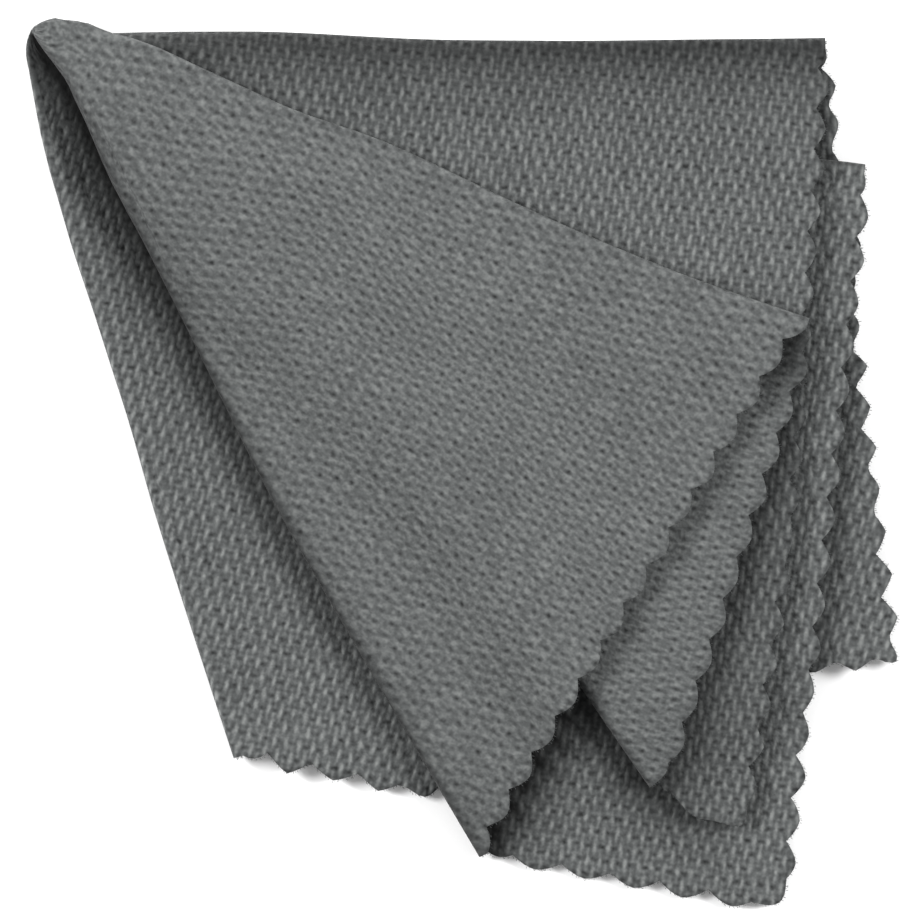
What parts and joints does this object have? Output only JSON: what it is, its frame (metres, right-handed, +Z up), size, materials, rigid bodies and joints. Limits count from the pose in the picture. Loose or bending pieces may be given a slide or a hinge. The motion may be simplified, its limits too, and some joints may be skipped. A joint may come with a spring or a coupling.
{
  "type": "microfibre cloth",
  "caption": "Grey knitted microfibre cleaning cloth with a pinked edge, pleated to a point in layers and lying flat.",
  "frame": {"origin": "centre of the bounding box on the surface that the cloth lies on", "axes": "+Z up from the surface; the folded tip points to -X +Y and the top fold runs along +X"},
  "size_m": [0.0982, 0.0998, 0.0094],
  "materials": {
    "microfibre": "matt grey knitted microfibre with a visible coarse stitch"
  },
  "bodies": {
    "root": {"cloth": "microfibre"}
  },
  "joints": []
}
